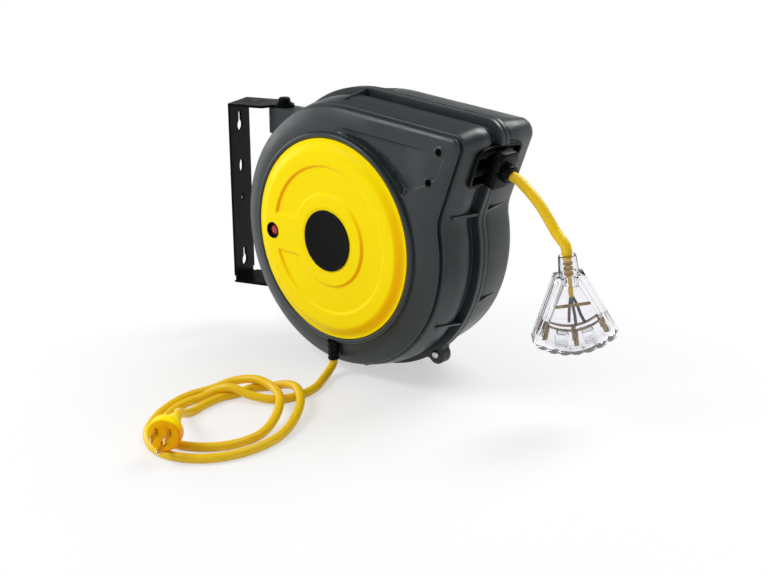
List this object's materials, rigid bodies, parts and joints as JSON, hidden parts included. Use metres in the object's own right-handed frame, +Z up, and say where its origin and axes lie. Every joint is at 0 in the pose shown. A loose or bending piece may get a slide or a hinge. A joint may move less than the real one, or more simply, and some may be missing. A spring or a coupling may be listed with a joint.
{
  "type": "extension cord reel",
  "caption": "Retractable extension cord reel with a snail-shaped housing, swivelling wall bracket, sprung drum, roller cord guide, clear fan-shaped tap and plug lead.",
  "frame": {"origin": "on the bracket's wall face, on its upright centre line, 25 mm below the drum axis", "axes": "+X from the bracket towards the cord outlet, +Y from the yellow cover to the back, +Z up"},
  "size_m": [0.5046, 0.4183, 0.3056],
  "materials": {
    "grey": "satin moulded",
    "yellow": "satin",
    "black": "satin",
    "black_steel": "satin black paint",
    "zinc": "bright zinc",
    "spring": "blued",
    "brass": "bright",
    "carbon": "matt",
    "red": "gloss",
    "cord": "satin",
    "clear": "clear moulded plastic"
  },
  "bodies": {
    "bracket": {"wall_bracket": "black_steel"},
    "drum": {"drum_front": "grey", "drum_rear": "grey", "wound_cord": "cord", "bush_front": "brass", "bush_rear": "brass", "main_spring": "spring", "ratchet_wheel": "zinc", "slip_ring_plate": "black", "slip_ring_line": "brass", "slip_ring_neutral": "brass", "slip_ring_ground": "brass"},
    "pawl": {"pawl": "zinc"},
    "reset_button": {"reset_button": "red"},
    "roller_upper": {"guide_roller_upper": "zinc"},
    "roller_lower": {"guide_roller_lower": "zinc"},
    "roller_front": {"guide_roller_front": "zinc"},
    "roller_rear": {"guide_roller_rear": "zinc"},
    "housing": {"front_shell": "grey", "rear_shell": "grey", "nose_screw_upper": "black_steel", "nose_screw_lower": "black_steel", "tab_screw_left": "zinc", "tab_screw_right": "zinc", "front_cover": "yellow", "cover_label": "black", "breaker_body": "black", "axle": "zinc", "axle_nut": "zinc", "pawl_post": "zinc", "brush_line": "carbon", "brush_neutral": "carbon", "brush_ground": "carbon", "brush_holder": "black", "cord_guide": "black", "cord_stopper_upper": "black", "cord_stopper_lower": "black", "inner_cord": "cord", "output_cord": "cord", "input_lead": "cord", "lead_strain_relief": "black", "tap_body": "clear", "tap_hot_bar": "brass", "tap_neutral_bar": "brass", "tap_ground_bar": "brass", "plug_body": "yellow", "plug_hot_blade": "brass", "plug_neutral_blade": "brass", "plug_ground_pin": "brass", "pivot_washer_upper": "black_steel", "pivot_washer_lower": "black_steel", "pivot_bolt_upper": "black_steel", "pivot_bolt_lower": "black_steel", "pivot_insert_upper": "brass", "pivot_insert_lower": "brass"}
  },
  "joints": [
    {"name": "housing_swivel", "type": "hinge", "parent": "bracket", "child": "housing", "pos_m": [0.05648, 0.02168, 0.025], "axis": [0, 0, 1], "range_deg": [-34, 72]},
    {"name": "drum_spin", "type": "hinge", "parent": "housing", "child": "drum", "pos_m": [0.19548, 0.02168, 0.025], "axis": [0, 1, 0], "continuous": true},
    {"name": "pawl_pivot", "type": "hinge", "parent": "housing", "child": "pawl", "pos_m": [0.121, 0.06798, 0.068], "axis": [0, 1, 0], "range_deg": [-6, 6]},
    {"name": "reset_press", "type": "slide", "parent": "housing", "child": "reset_button", "axis": [0, 1, 0], "range_m": [0, 0.002], "stiffness_N_per_m": 400},
    {"name": "roller_upper_spin", "type": "hinge", "parent": "housing", "child": "roller_upper", "pos_m": [0.35607, 0.02168, 0.13201], "axis": [0, 1, 0], "continuous": true},
    {"name": "roller_lower_spin", "type": "hinge", "parent": "housing", "child": "roller_lower", "pos_m": [0.34926, 0.02168, 0.11331], "axis": [0, 1, 0], "continuous": true},
    {"name": "roller_front_spin", "type": "hinge", "parent": "housing", "child": "roller_front", "pos_m": [0.34326, 0.01173, 0.12608], "axis": [0.342, 0, 0.9397], "continuous": true},
    {"name": "roller_rear_spin", "type": "hinge", "parent": "housing", "child": "roller_rear", "pos_m": [0.34326, 0.03163, 0.12608], "axis": [0.342, 0, 0.9397], "continuous": true}
  ]
}
